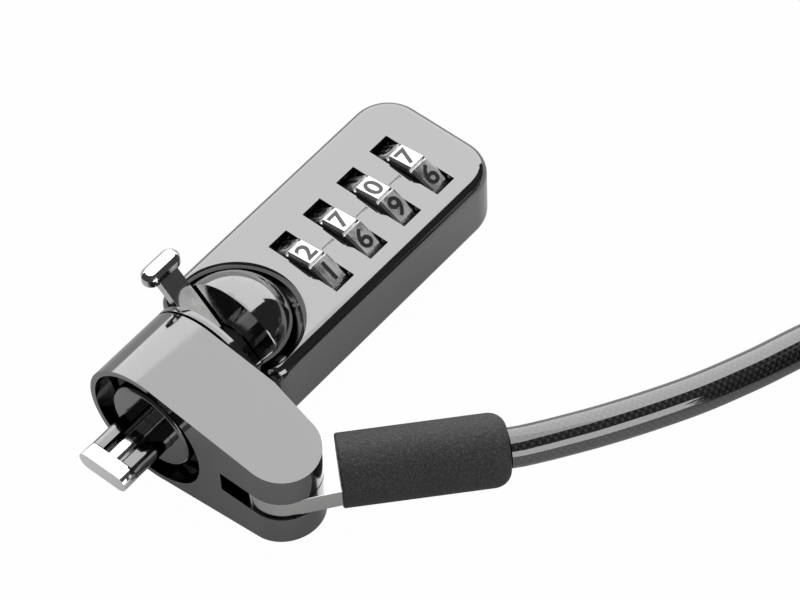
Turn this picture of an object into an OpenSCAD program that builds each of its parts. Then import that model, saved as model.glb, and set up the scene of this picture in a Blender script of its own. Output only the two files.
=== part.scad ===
// Laptop cable lock: four number wheels in a flat body, a tilting ball head with a turning
// T-bar, and a swivel collar that carries the cable. All sizes are in millimetres.
// Origin: centre of the head's front face, on the head axis.
// +X runs out along the T-bar, +Y towards the cable arm, +Z out of the number face.

/* [Body] */
// Width of the body across Y
body_w = 18; // [17.6:0.2:22]
// Thickness of the body along Z
body_t = 9.1; // [8.8:0.1:9.4]
// Radius that rounds the top and bottom edges of the body
edge_r = 1.6; // [1.5:0.1:2]
// Radius of the two corners at the far end, seen from above
far_corner_r = 4.8; // [4:0.2:6]
// Radius of the two corners beside the socket, seen from above
near_corner_r = 2; // [2:0.1:2.4]
// Distance from the tilt axis forward to the end of the body
near_reach = 2.97; // [2.4:0.05:3]
// Distance from the last dial back to the far end of the body
end_reach = 7.1; // [7:0.1:12]
// Thickness of the cover under the body
cover_t = 0.9; // [0.6:0.1:1]
// Width of the rim left round the cover
cover_rim = 0.8; // [0.6:0.1:1]
// Radius of the pins that hold the cover
cover_pin_r = 0.6; // [0.4:0.1:0.8]

/* [Number wheels] */
// Radius of a dial over its pads
dial_r = 5.9; // [5.6:0.1:6]
// Thickness of a dial
dial_t = 2.5; // [2:0.1:2.6]
// Distance from one dial to the next
dial_pitch = 5.8; // [5.6:0.1:7]
// Sideways place of the dial axis in the body
dial_y = 1.33; // [0.8:0.01:1.4]
// Length of a dial window along Y
window_l = 10; // [9.6:0.1:10.6]
// Gap between a dial and the sides of its window
window_gap = 0.25; // [0.15:0.05:0.3]
// Turn that brings a number square to the reader
rest_turn = 7.5; // [0:0.5:15]
// Width of the grooves between the pads
groove_w = 0.5; // [0.3:0.05:0.8]
// Depth of the grooves between the pads
groove_d = 0.6; // [0.3:0.05:0.9]

/* [Code mechanism] */
// Outer radius of a code sleeve
sleeve_r = 3.3; // [3.1:0.05:3.35]
// Inner radius of a code sleeve
sleeve_bore_r = 2.2; // [2:0.05:2.4]
// Radius of the code shaft
shaft_r = 1.5; // [1.3:0.05:1.6]
// Radial height of the shaft's fins, from the shaft's axis
fin_r = 2.9; // [2.7:0.05:2.9]
// Thickness of a fin
fin_t = 0.5; // [0.4:0.05:0.5]
// Radius of the shaft's nose and of the blocking rod
rod_r = 0.6; // [0.5:0.05:0.65]
// Travel of the shaft and the rod when the lever turns
rod_travel = 0.7; // [0.5:0.05:0.7]
// Wall between the socket's relief slot and the sleeves' bore
nose_wall = 0.53; // [0.4:0.01:1]
// Thickness of the reset screw's disc
screw_t = 2; // [1.6:0.1:2.2]

/* [Head] */
// Radius of the swivel ball
ball_r = 7.08; // [6.9:0.02:7.2]
// Gap between the ball and its socket
socket_gap = 0.47; // [0.4:0.01:0.6]
// Height of the tilt axis above the head axis
pivot_z = 2.03; // [1.8:0.01:2.1]
// Distance from the tilt axis forward to the flange
neck = 3.54; // [3.5:0.02:4]
// Radius of the flange behind the collar
flange_r = 8.3; // [8.2:0.1:9]
// Thickness of the flange
flange_t = 0.83; // [0.7:0.01:1]
// Radius of the barrel that the collar turns on
barrel_r = 5.5; // [5.3:0.1:5.8]
// Length of the barrel in front of the flange
barrel_l = 9.9; // [9.5:0.1:11]
// Radius of the two stub pins that the head tilts on
pivot_pin_r = 1.25; // [1:0.05:1.3]
// How far a stub pin reaches into the ball
pivot_pin_grip = 2; // [1.6:0.1:2]
// How far the dowels reach into the barrel
dowel_grip = 3; // [2:0.1:3.4]

/* [Lever and T-bar] */
// Radius of the lever's hub
hub_r = 3; // [2.8:0.05:3.1]
// Thickness of the lever's plate
plate_t = 1.2; // [0.8:0.1:1.4]
// Length of the lever's plate along the head axis
plate_l = 2.8; // [2.4:0.1:2.8]
// Distance from the head axis to the middle of the lever's cap
cap_reach = 12.25; // [12:0.05:13]
// Radius of the lever's cap
cap_r = 0.95; // [0.8:0.05:1]
// Resting angle of the lever, from +Y towards +Z
lever_angle = 135; // [130:1:135]
// Radius of the T-bar's shaft
spindle_r = 1.2; // [1:0.05:1.25]
// Length of the T-bar's head
tee_l = 6.7; // [6.4:0.1:6.9]
// Height of the T-bar's head and of the prongs
tee_h = 2.4; // [2.2:0.1:2.6]
// Thickness of the T-bar's head along X
tee_t = 1.8; // [1.4:0.1:2]
// Length of the prongs in front of the head
prong_l = 5.65; // [4:0.05:7]

/* [Cable collar] */
// Length of the collar along X
collar_l = 10; // [9.6:0.1:10.4]
// Gap between the flange and the collar
collar_gap = 0.3; // [0.2:0.05:0.4]
// Radius of the recess in the collar's front
recess_r = 7.6; // [7.2:0.05:7.6]
// Depth of the recess in the collar's front
recess_d = 3.8; // [3.6:0.1:4.2]
// Radius of the rounded end of the arm, seen from above
ear_r = 4.5; // [4.2:0.1:4.8]
// Distance from the head axis to the cable pin
arm_reach = 15.7; // [15:0.1:18]
// Distance from the cable pin back to where the arm's rear edge starts to run in
arm_run_in = 5.5; // [5:0.1:6]
// Angle at which the arm narrows towards its end, on each side
arm_taper = 8.4; // [6:0.2:9]
// Width of the slot in the arm
slot_w = 3; // [2.8:0.1:3.4]
// Radius of the cable pin
cable_pin_r = 1; // [0.8:0.1:1.4]

/* [Cable end] */
// Thickness of the cable lug
lug_t = 2.7; // [2.4:0.1:2.7]
// Width of the cable lug
lug_w = 7; // [6:0.1:7.2]
// Angle of the lug away from +Y, towards the body
lug_angle = 47.8; // [40:0.1:50]
// Distance from the cable pin to the black sleeve
sleeve_start = 6; // [5.8:0.1:8]
// Outer diameter of the black sleeve
sleeve_d = 8.2; // [8.2:0.1:9]
// Radius that rounds the far end of the black sleeve
sleeve_end_r = 2; // [1:0.1:2]

/* [Cable] */
// Diameter of the cable
cable_d = 4.5; // [4.2:0.1:4.5]
// Radius of the coil at the middle of its turns
coil_r = 25.2; // [25:0.2:27]
// Distance from one turn to the next
turn_pitch = 4.6; // [4.6:0.05:4.8]
// Length of the ferrule
ferrule_l = 14; // [10:0.5:16]
// Radius of the eye at the end of the cable, at the middle of the cable
eye_r = 18; // [16:0.5:20]

/* [Hidden] */
$fn = 64;

dial_count = 4;
pad_count = 10;
pad_turn = 360 / pad_count;

running = 0.06;     // radial clearance of a turning fit
seated = 0.02;      // clearance of a part that is pressed or set in place
play = 0.15;        // end float between sliding pieces
free_gap = 0.3;     // clearance round a piece that swings
margin = 1;         // how far a cutting shape runs past a face
overlap = 0.2;      // how far joined shapes of one piece reach into each other
seam = 0.02;        // how far a straight side runs inside the curve that it blends into

// Head, from the front face backwards
flange_front_x = -barrel_l;
flange_back_x = flange_front_x - flange_t;
pivot_x = flange_back_x - neck;
plate_x1 = flange_back_x - 0.37;
plate_x0 = plate_x1 - plate_l;
hub_x1 = flange_back_x - 0.17;
hub_x0 = plate_x0 - 0.1;
chamber_r = hub_r + 0.1;
chamber_x0 = hub_x0 - play;
front_wall = 1;
insert_base_t = 2;
bush_r = 3.6;

// Lever cam and blocking rod
cam_r = 2.1;
cam_slope = rod_travel / dial_y;
cam_h = cam_slope * 2 * dial_y;
cam_pocket_x = hub_x0 - cam_slope * (dial_y + cam_r) - play;
rod_tip_r = 0.25;
rod_front_x = hub_x0 - 0.2;
rod_back_x = pivot_x - sqrt(pow(ball_r, 2) - pow(pivot_z + rod_r, 2) - pow(dial_y, 2)) - 0.03;

// Socket
socket_r = ball_r + socket_gap;
near_x = pivot_x + near_reach;
relief_r = socket_r + 0.55;
relief_w = 2 * rod_r + 0.7;
relief_top = rod_r + 0.35;
nose_tip_x = pivot_x - ball_r + 0.1;

// Code sleeves stand on both sides of their dials, with a gap for a fin in front of each
fin_gap = fin_t + rod_travel + 2 * play;
sleeve_front = dial_t / 2 + play;
sleeve_len = dial_pitch - fin_gap;
sleeve_back = sleeve_len - sleeve_front;
bore_front_x = pivot_x - relief_r - nose_wall;
function dial_x(i) = bore_front_x - fin_gap - sleeve_front - (i - 1) * dial_pitch;
bore_r = sleeve_r + 0.1;
key_r = 0.3;
fin_w = 0.7;
stem_r = 0.8;
last_dial_x = dial_x(dial_count);
far_x = last_dial_x - end_reach;
body_l = near_x - far_x;
screw_recess = 0.3;
screw_face_x = far_x + screw_recess + screw_t;
shaft_back_x = last_dial_x - sleeve_back + 1.6;
stem_back_x = last_dial_x - sleeve_back - 0.8;

// Dial pockets and windows
window_w = dial_t + 2 * window_gap;
pocket_r = dial_r + free_gap;
cover_top = -body_t / 2 + cover_t;
index_d = 0.15;
index_w = 0.3;
index_l = 1.8;

// Detent leaf, beside the dials
leaf_t = 0.25;
nose_r = 0.35;
leaf_gap = 0.2;
nose_ring = dial_r + leaf_gap + nose_r;
leaf_y = dial_y - nose_ring * cos(rest_turn) - leaf_t / 2 - 0.05;
leaf_top = 1.5;
leaf_room = 0.1;

// Cover pins
leaf_pin_wall = 0.67;
cover_pin_y = cover_pin_r + leaf_pin_wall - leaf_y;
cover_pin_top = -1.2;
cover_pin_x = [for (i = [1, 3]) (dial_x(i) + dial_x(i + 1)) / 2];

// Head fastening
dowel_r = 0.45;
dowel_y = 4.2;
dowel_z = -1.5;
dowel_x0 = flange_back_x - 2.5;
dowel_x1 = flange_back_x + dowel_grip;

// Pivot pins
pin_inner_y = ball_r - pivot_pin_grip;
blind_end_y = body_w / 2 - 0.5;

// Retaining ring
ring_t = 0.6;
ring_groove_d = 0.35;
ring_r = recess_r - 0.6;
collar_x0 = flange_front_x + collar_gap;
collar_x1 = collar_x0 + collar_l;
recess_floor_x = collar_x1 - recess_d;
ring_x0 = recess_floor_x + 0.2;

// Arm of the collar
arm_x = collar_x1 - ear_r;
arm_back_y = arm_reach - arm_run_in;
slot_floor_y = arm_reach - lug_w / 2 - 1.5;
arm_end_y = arm_reach + ear_r + margin;
cable_pin_top = slot_w / 2 + 2;
arm_half = flange_r / cos(arm_taper) - arm_reach * tan(arm_taper);

// Cable end
crimp_r = 2.9;
crimp_start = sleeve_start + 1.4;
crimp_l = 10.5;
cable_exit = [-22.25, 32.15, 0];
sleeve_end = norm([cable_exit[0] - arm_x, cable_exit[1] - arm_reach]);

// Cable. It leaves the sleeve, comes down to the resting surface and runs into the coil.
cable_r = cable_d / 2;
rest_z = -flange_r;
cable_sides = 8;
cable_route = [
    cable_exit, [-23.3, 33, -0.05], [-25.2, 34.25, -0.2], [-27.1, 35.4, -0.4],
    [-31.2, 37.7, -0.9], [-36.6, 40.3, -1.7], [-42.5, 42.8, -2.6], [-48.9, 44.95, -3.6],
    [-52.2, 45.9, -4.1], [-55.5, 46.8, -4.6], [-58.5, 47.65, -5.1], [-61.5, 48.5, -5.5],
    [-64.5, 49.4, -5.8], [-67.5, 50.3, -6], [-73.5, 52.2, -6.05], [-79, 54, -6.05],
    [-84.2, 56, -6.05]
];
tail_route = [
    [-63.8, 112, 10.1], [-57.3, 108.7, 11.4], [-52.2, 104.3, 12.4], [-48.2, 98.9, 12.85],
    [-46.1, 93, 12.85], [-46.1, 86.8, 12.85], [-48.2, 80.9, 12.85], [-52.2, 76.1, 12.85],
    [-57.6, 73, 12.85], [-63.8, 71.9, 12.85], [-67.2, 71.9, 12.85]
];
coil_x = -74;
coil_y = 84;
coil_columns = 3;
coil_layers = 4;
tail_end = tail_route[len(tail_route) - 1];
ferrule_h = cable_d + 1;
ferrule_w = 2 * cable_d + 1.5;
leg_gap = cable_d + 0.3;
eye_x = tail_end[0] - ferrule_l - eye_r + 1.2;

// Colours
gunmetal = [0.32, 0.32, 0.33];
nickel = [0.82, 0.82, 0.8];
steel = [0.6, 0.6, 0.62];
brass = [0.78, 0.64, 0.34];
black = [0.13, 0.13, 0.13];
smoke = [0.42, 0.43, 0.45];

// ---- Shared shapes ----

module x_rod(r, x0, x1, y = 0, z = 0) {
    translate([x0, y, z]) rotate([0, 90, 0]) cylinder(r = r, h = x1 - x0);
}

module y_rod(r, y0, y1, x = 0, z = 0) {
    translate([x, y0, z]) rotate([-90, 0, 0]) cylinder(r = r, h = y1 - y0);
}

module z_rod(r, z0, z1, x = 0, y = 0) {
    translate([x, y, z0]) cylinder(r = r, h = z1 - z0);
}

module block(low, high) {
    translate(low) cube(high - low);
}

// A profile of [radius, x] points turned round the X axis
module x_turned(profile) {
    rotate([0, 90, 0]) rotate_extrude() polygon(profile);
}

// An outline in Y and Z carried along X
module x_prism(x0, x1) {
    translate([x0, 0, 0]) rotate([90, 0, 90]) linear_extrude(x1 - x0) children();
}

// A bar with round ends, l long and h high, in the plane
module stadium(l, h) {
    square([l - h, h], center = true);
    for (s = [-1, 1]) translate([s * (l - h) / 2, 0]) circle(r = h / 2);
}

// Rectangle rounded at all corners by r
module rounded(l, h, r) {
    square([l - 2 * r, h], center = true);
    square([l, h - 2 * r], center = true);
    for (s = [-1, 1], t = [-1, 1]) {
        translate([s * (l / 2 - r), t * (h / 2 - r)]) circle(r = r);
    }
}

// Rectangle from x0 to x1 with corners r0 at x0 and r1 at x1
module plan(x0, x1, w, r0, r1) {
    translate([x0 + r0, -w / 2]) square([x1 - x0 - r0 - r1, w]);
    translate([x0, -w / 2 + r0]) square([x1 - x0 - r1, w - 2 * r0]);
    translate([x0 + r0, -w / 2 + r1]) square([x1 - x0 - r0, w - 2 * r1]);
    for (s = [-1, 1]) {
        translate([x0 + r0, s * (w / 2 - r0)]) circle(r = r0);
        translate([x1 - r1, s * (w / 2 - r1)]) circle(r = r1);
    }
}

// ---- Body ----

// Post with rounded rims that makes one corner of the body
module corner_post(r) {
    rotate_extrude() intersection() {
        rounded(2 * r, body_t, edge_r);
        translate([0, -body_t / 2]) square([r, body_t]);
    }
}

// Outer form of the body: every top and bottom edge is rounded, also round the corners
module body_form() {
    x_prism(far_x + far_corner_r, near_x - near_corner_r) rounded(body_w, body_t, edge_r);
    translate([(far_x + near_x) / 2, 0, 0]) rotate([90, 0, 0])
        linear_extrude(body_w - 2 * far_corner_r, center = true) rounded(body_l, body_t, edge_r);
    intersection() {
        translate([(far_x + near_x) / 2, 0, 0]) rotate([90, 0, 0])
            linear_extrude(body_w - 2 * near_corner_r, center = true) rounded(body_l, body_t, edge_r);
        block([pivot_x, -body_w, -body_t], [near_x + margin, body_w, body_t]);
    }
    for (s = [-1, 1]) {
        translate([far_x + far_corner_r, s * (body_w / 2 - far_corner_r), 0]) corner_post(far_corner_r);
        translate([near_x - near_corner_r, s * (body_w / 2 - near_corner_r), 0]) corner_post(near_corner_r);
    }
}

// Space that the cover fills, grown by gap
module cover_space(gap) {
    x1 = dial_x(1) + window_w / 2 + 0.7 + gap;
    x0 = far_x + cover_rim - gap;
    r = far_corner_r - cover_rim + gap;
    translate([0, 0, -body_t / 2 - margin]) linear_extrude(cover_t + margin + gap)
        plan(x0, x1, body_w - 2 * cover_rim + 2 * gap, r, 1);
}

module dial_window(i, z0, z1) {
    block([dial_x(i) - window_w / 2, dial_y - window_l / 2, z0],
          [dial_x(i) + window_w / 2, dial_y + window_l / 2, z1]);
}

// Room for one dial: a round pocket, open down to the cover, and a window in the top
module dial_room(i) {
    x0 = dial_x(i) - window_w / 2;
    x1 = dial_x(i) + window_w / 2;
    x_rod(pocket_r, x0, x1, dial_y, 0);
    block([x0, dial_y - pocket_r, -body_t / 2 - margin], [x1, dial_y + pocket_r, 0]);
    dial_window(i, 0, body_t / 2 + margin);
}

// Round socket for the ball, with a broken top edge and a slot where the rod swings down
module socket() {
    edge = 0.5;
    z_rod(socket_r, -body_t, body_t, pivot_x);
    translate([pivot_x, 0, body_t / 2 - edge])
        cylinder(r1 = socket_r, r2 = socket_r + 2 * edge, h = 2 * edge);
    block([pivot_x - relief_r, dial_y - relief_w / 2, -body_t], [pivot_x, dial_y + relief_w / 2, relief_top]);
}

module housing() {
    color(gunmetal) difference() {
        body_form();
        socket();
        cover_space(seated);
        for (i = [1:dial_count]) dial_room(i);
        x_rod(bore_r, far_x - margin, bore_front_x, dial_y, 0);
        translate([0, dial_y, 0]) rotate([rest_turn, 0, 0])
            x_rod(key_r + leaf_room, far_x + screw_t, bore_front_x, 0, sleeve_r);
        x_rod(rod_r + running, bore_front_x - margin, pivot_x - socket_r, dial_y, 0);
        block([last_dial_x - 2.4, leaf_y - leaf_t / 2 - leaf_room, -body_t / 2],
              [dial_x(1) + 1.9, leaf_y + leaf_t / 2 + 0.35, leaf_top + leaf_room]);
        for (x = cover_pin_x, s = [-1, 1])
            z_rod(cover_pin_r + seated, -body_t, cover_pin_top + play, x, s * cover_pin_y);
        y_rod(pivot_pin_r + seated, -body_w, 0, pivot_x, pivot_z);
        y_rod(pivot_pin_r + seated, 0, blind_end_y + seated, pivot_x, pivot_z);
        for (i = [1:dial_count - 1])
            block([dial_x(i) - (dial_pitch + index_l) / 2, dial_y - index_w / 2, body_t / 2 - index_d],
                  [dial_x(i) - (dial_pitch - index_l) / 2, dial_y + index_w / 2, body_t]);
    }
}

module base_cover() {
    color(gunmetal) difference() {
        intersection() {
            body_form();
            cover_space(0);
        }
        for (i = [1:dial_count]) {
            dial_window(i, -body_t, 0);
            x_rod(pocket_r, dial_x(i) - window_w / 2, dial_x(i) + window_w / 2, dial_y, 0);
        }
        for (x = cover_pin_x, s = [-1, 1])
            z_rod(cover_pin_r + seated, -body_t, 0, x, s * cover_pin_y);
    }
}

module cover_pins() {
    color(steel) for (x = cover_pin_x, s = [-1, 1])
        z_rod(cover_pin_r, -body_t / 2, cover_pin_top, x, s * cover_pin_y);
}

// Leaf that stands on the cover beside the dials, with one nose ridge at each dial
module detent_spring() {
    color(steel) {
        block([last_dial_x - 2, leaf_y - leaf_t / 2, cover_top + seated],
              [dial_x(1) + 1.5, leaf_y + leaf_t / 2, leaf_top]);
        for (i = [1:dial_count])
            x_rod(nose_r, dial_x(i) - 0.9, dial_x(i) + 0.9,
                  dial_y - nose_ring * cos(rest_turn), -nose_ring * sin(rest_turn));
    }
}

module pivot_pin(y0, y1) {
    color(steel) y_rod(pivot_pin_r, y0, y1, pivot_x, pivot_z);
}

module left_pivot_pin() {
    pivot_pin(-body_w / 2 + 0.1, -pin_inner_y);
}

module right_pivot_pin() {
    pivot_pin(pin_inner_y, blind_end_y);
}

// ---- Number wheels and code mechanism ----

// Dial with ten raised pads, and ten notches in its bore for the code sleeve's key
module dial(i) {
    rim = 0.25;
    h = dial_t / 2;
    color(nickel) translate([dial_x(i), dial_y, 0]) rotate([rest_turn, 0, 0]) difference() {
        x_turned([[sleeve_r + 0.05, -h], [dial_r - rim, -h], [dial_r, -h + rim],
                  [dial_r, h - rim], [dial_r - rim, h], [sleeve_r + 0.05, h]]);
        for (k = [0:pad_count - 1]) {
            rotate([(k + 0.5) * pad_turn, 0, 0]) {
                x_rod(groove_w / 2, -dial_t, dial_t, 0, dial_r - groove_d + groove_w / 2);
                block([-dial_t, -groove_w / 2, dial_r - groove_d + groove_w / 2],
                      [dial_t, groove_w / 2, dial_r + margin]);
            }
            rotate([k * pad_turn, 0, 0]) x_rod(key_r + 0.05, -dial_t, dial_t, 0, sleeve_r);
        }
    }
}

module dial_1() { dial(1); }
module dial_2() { dial(2); }
module dial_3() { dial(3); }
module dial_4() { dial(4); }

// Tube keyed to its dial; the slot inside lets the shaft's fin through at one number only
module code_sleeve(i) {
    color(brass) translate([dial_x(i), dial_y, 0]) difference() {
        union() {
            x_rod(sleeve_r, -sleeve_back, sleeve_front);
            rotate([rest_turn, 0, 0]) x_rod(key_r, -dial_t / 2, dial_t / 2, 0, sleeve_r);
        }
        x_rod(sleeve_bore_r, -sleeve_back - margin, sleeve_front + margin);
        block([-sleeve_back - margin, -fin_w / 2 - 0.1, 0],
              [sleeve_front + margin, fin_w / 2 + 0.1, fin_r + 0.1]);
    }
}

module code_sleeve_1() { code_sleeve(1); }
module code_sleeve_2() { code_sleeve(2); }
module code_sleeve_3() { code_sleeve(3); }
module code_sleeve_4() { code_sleeve(4); }

// Shaft with one fin in front of each sleeve, a nose towards the ball and a stem for the spring
module code_shaft() {
    front = bore_front_x - play;
    color(steel) {
        x_rod(shaft_r, shaft_back_x, front, dial_y, 0);
        x_rod(rod_r, front - overlap, nose_tip_x, dial_y, 0);
        x_rod(stem_r, stem_back_x, shaft_back_x + overlap, dial_y, 0);
        for (i = [1:dial_count]) {
            x1 = dial_x(i) + sleeve_front + fin_gap - play;
            block([x1 - fin_t, dial_y - fin_w / 2, 0], [x1, dial_y + fin_w / 2, fin_r]);
        }
    }
}

// Ring k of a tube of radius r: points round a route point, square to the route
function unit(v) = v / norm(v);
function heading(path, k) =
    unit(path[min(k + 1, len(path) - 1)] - path[max(k - 1, 0)]);
function ring(path, k, r, sides, up) =
    let (d = heading(path, k), a = unit(cross(up, d)), b = cross(d, a))
    [for (s = [0:sides - 1]) path[k] + r * (cos(360 * s / sides) * a + sin(360 * s / sides) * b)];

// Closed tube along a route of points
module tube(path, r, sides, up = [0, 0, 1]) {
    n = len(path);
    points = [for (k = [0:n - 1]) each ring(path, k, r, sides, up)];
    walls = [for (k = [0:n - 2], s = [0:sides - 1])
        [k * sides + s, (k + 1) * sides + s, (k + 1) * sides + (s + 1) % sides, k * sides + (s + 1) % sides]];
    start = [for (s = [0:sides - 1]) s];
    end = [for (s = [sides - 1:-1:0]) (n - 1) * sides + s];
    polyhedron(points, concat(walls, [start, end]));
}

// Spring round the shaft's stem, at the length it has when the lever is turned
module shaft_spring() {
    turns = 5;
    steps = 12;
    wire_r = 0.2;
    coil = stem_r + 0.25 + wire_r;
    x0 = screw_face_x + wire_r + seated;
    x1 = shaft_back_x - rod_travel - wire_r - 0.05;
    path = [for (k = [0:turns * steps])
        [x0 + (x1 - x0) * k / (turns * steps), dial_y + coil * cos(360 * k / steps), coil * sin(360 * k / steps)]];
    color(steel) tube(path, wire_r, 6, [1, 0, 0]);
}

// Slotted disc that closes the bore and is turned to set a new code
module reset_screw() {
    slot = 0.8;
    color(nickel) difference() {
        x_rod(bore_r - running, far_x + screw_recess, screw_face_x, dial_y, 0);
        block([far_x - margin, dial_y - sleeve_r, -slot / 2], [far_x + screw_recess + slot, dial_y + sleeve_r, slot / 2]);
    }
}

// ---- Tilting head ----

// Sweep of the lever's plate about the head axis, with room on both sides
module lever_slot() {
    side = plate_t / 2 + free_gap;
    reach = 2 * ball_r;
    a = lever_angle;
    b = lever_angle - 90;
    x_prism(plate_x0 - 0.25, flange_back_x + margin) polygon([
        side * [cos(b - 90), sin(b - 90)],
        side * [cos(b - 90), sin(b - 90)] + reach * [cos(b), sin(b)],
        2 * reach * [cos((a + b) / 2), sin((a + b) / 2)],
        side * [cos(a + 90), sin(a + 90)] + reach * [cos(a), sin(a)],
        side * [cos(a + 90), sin(a + 90)]
    ]);
}

module dowels(r, x0, x1) {
    for (s = [-1, 1]) x_rod(r, x0, x1, s * dowel_y, dowel_z);
}

// Ball with the lever's groove, the hub's chamber and blind bores for the stub pins
module swivel_ball() {
    color(gunmetal) difference() {
        translate([pivot_x, 0, pivot_z]) sphere(r = ball_r);
        block([flange_back_x, -2 * ball_r, -2 * ball_r], [0, 2 * ball_r, 2 * ball_r]);
        x_rod(chamber_r, chamber_x0, flange_back_x + margin);
        x_rod(cam_r + play, cam_pocket_x, chamber_x0 + overlap);
        lever_slot();
        x_rod(rod_r + running, pivot_x - 2 * ball_r, chamber_x0, dial_y, 0);
        for (s = [-1, 1]) translate([0, s * (pin_inner_y - 0.1 + ball_r / 2), 0])
            y_rod(pivot_pin_r + running, -ball_r / 2, ball_r / 2, pivot_x, pivot_z);
        dowels(dowel_r + seated, dowel_x0 - 0.1, flange_back_x + margin);
    }
}

// Flange and barrel in one, hollow from behind, with the opening for the prongs in front
module head_barrel() {
    rim = 0.3;
    groove_x1 = ring_x0 + ring_t + 0.05;
    color(gunmetal) difference() {
        x_turned([[bush_r + 0.05, flange_back_x], [flange_r, flange_back_x], [flange_r, flange_front_x],
                  [barrel_r, flange_front_x], [barrel_r, ring_x0 - 0.05],
                  [barrel_r - ring_groove_d, ring_x0 - 0.05], [barrel_r - ring_groove_d, groove_x1],
                  [barrel_r, groove_x1], [barrel_r, -rim], [barrel_r - rim, 0], [0, 0],
                  [0, -front_wall], [bush_r + 0.05, -front_wall]]);
        x_prism(-2 * front_wall, margin) stadium(tee_l, tee_h + 0.1);
        dowels(dowel_r + seated, flange_back_x - margin, dowel_x1 + 0.1);
    }
}

module head_dowels() {
    color(steel) dowels(dowel_r, dowel_x0, dowel_x1);
}

// Two prongs on a round base, set into the barrel from behind
module prong_insert() {
    color(steel) difference() {
        union() {
            x_rod(bush_r, -front_wall - insert_base_t, -front_wall - seated);
            x_prism(-front_wall - overlap, prong_l) stadium(tee_l - 0.1, tee_h);
        }
        x_rod(spindle_r + 0.1, -barrel_l, prong_l + margin);
    }
}

module spindle_bush() {
    color(brass) difference() {
        x_rod(bush_r, flange_back_x + seated, -front_wall - insert_base_t - seated);
        x_rod(spindle_r + running, flange_back_x - margin, 0);
    }
}

// Split ring that holds the collar on the barrel
module retaining_ring() {
    split = 2;
    color(steel) difference() {
        x_rod(ring_r, ring_x0, ring_x0 + ring_t);
        x_rod(barrel_r - ring_groove_d + 0.05, ring_x0 - margin, ring_x0 + ring_t + margin);
        block([ring_x0 - margin, -split / 2, -flange_r], [ring_x0 + 2 * margin, split / 2, 0]);
    }
}

// Rod between the lever's cam and the code shaft; its front end is a blunt cone
module blocking_rod() {
    cone = rod_r - rod_tip_r;
    color(steel) translate([0, dial_y, 0])
        x_turned([[0, rod_back_x], [rod_r, rod_back_x], [rod_r, rod_front_x - cone],
                  [rod_tip_r, rod_front_x], [0, rod_front_x]]);
}

// ---- Lever and T-bar ----

// Slanted face behind the hub, lowest where the rod stands, that pushes the rod as it turns
module cam() {
    lean = atan(cam_slope);
    difference() {
        x_rod(cam_r, hub_x0 - 2 * cam_h, hub_x0 + overlap);
        translate([hub_x0, dial_y, 0]) rotate([0, 0, -lean])
            block([-6 * cam_h, -4 * cam_r, -2 * cam_r], [0, 4 * cam_r, 2 * cam_r]);
    }
}

module lever() {
    color(nickel) difference() {
        union() {
            x_rod(hub_r, hub_x0, hub_x1);
            cam();
            rotate([lever_angle - 90, 0, 0]) {
                block([plate_x0, -plate_t / 2, 0], [plate_x1, plate_t / 2, cap_reach]);
                x_rod(cap_r, plate_x0, plate_x1, 0, cap_reach);
                for (x = [plate_x0, plate_x1]) translate([x, 0, cap_reach]) sphere(r = cap_r);
            }
        }
        x_rod(spindle_r + seated, hub_x0 + 0.5, hub_x1 + margin);
    }
}

module t_bar() {
    color(nickel) {
        x_rod(spindle_r, hub_x0 + 0.5 + seated, prong_l + overlap);
        x_prism(prong_l + 0.1, prong_l + 0.1 + tee_t) stadium(tee_l, tee_h);
    }
}

// ---- Cable collar ----

// Arm that narrows at a tangent to the round ring, seen along the head axis
module arm_wedge() {
    edge = flange_r - seam;
    touch = edge * [sin(arm_taper), cos(arm_taper)];
    end_z = edge / cos(arm_taper) - arm_end_y * tan(arm_taper);
    x_prism(collar_x0, collar_x1)
        polygon([[0, 0], touch, [arm_end_y, end_z], [arm_end_y, -end_z], [touch[0], -touch[1]]]);
}

// Outline seen from above: the back edge runs at a tangent into the round end
module collar_plan() {
    start = [collar_x0, arm_back_y];
    centre = [arm_x, arm_reach];
    line = start - centre;
    edge = ear_r - seam;
    turn = atan2(line[1], line[0]) - acos(edge / norm(line));
    tangent = centre + edge * [cos(turn), sin(turn)];
    translate([collar_x0, -flange_r - margin]) square([collar_l, flange_r + margin + arm_back_y + overlap]);
    polygon([start, [collar_x1, arm_back_y], [collar_x1, arm_reach], centre, tangent]);
    translate(centre) circle(r = ear_r);
}

module collar() {
    color(gunmetal) difference() {
        union() {
            x_rod(flange_r, collar_x0, collar_x1);
            intersection() {
                arm_wedge();
                translate([0, 0, -flange_r - margin]) linear_extrude(2 * (flange_r + margin)) collar_plan();
            }
        }
        x_rod(barrel_r + running, collar_x0 - margin, collar_x1 + margin);
        x_rod(recess_r, recess_floor_x, collar_x1 + margin);
        block([collar_x0 - margin, slot_floor_y, -slot_w / 2], [collar_x1 + margin, arm_end_y, slot_w / 2]);
        z_rod(cable_pin_r + seated, -flange_r, cable_pin_top + 0.1, arm_x, arm_reach);
    }
}

module cable_pin() {
    color(steel) z_rod(cable_pin_r, -arm_half + 0.3, cable_pin_top, arm_x, arm_reach);
}

// ---- Cable end ----

// Places what is drawn along +X from the cable pin along the lug
module along_lug() {
    translate([arm_x, arm_reach, 0]) rotate([0, 0, 90 + lug_angle]) children();
}

// Flat eye that turns on the cable pin, with a round crimp inside the black sleeve
module cable_lug() {
    color(nickel) along_lug() difference() {
        union() {
            z_rod(lug_w / 2, -lug_t / 2, lug_t / 2);
            block([0, -lug_w / 2, -lug_t / 2], [crimp_start + overlap, lug_w / 2, lug_t / 2]);
            x_rod(crimp_r, crimp_start, crimp_start + crimp_l);
        }
        z_rod(cable_pin_r + running, -lug_t, lug_t);
    }
}

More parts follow.
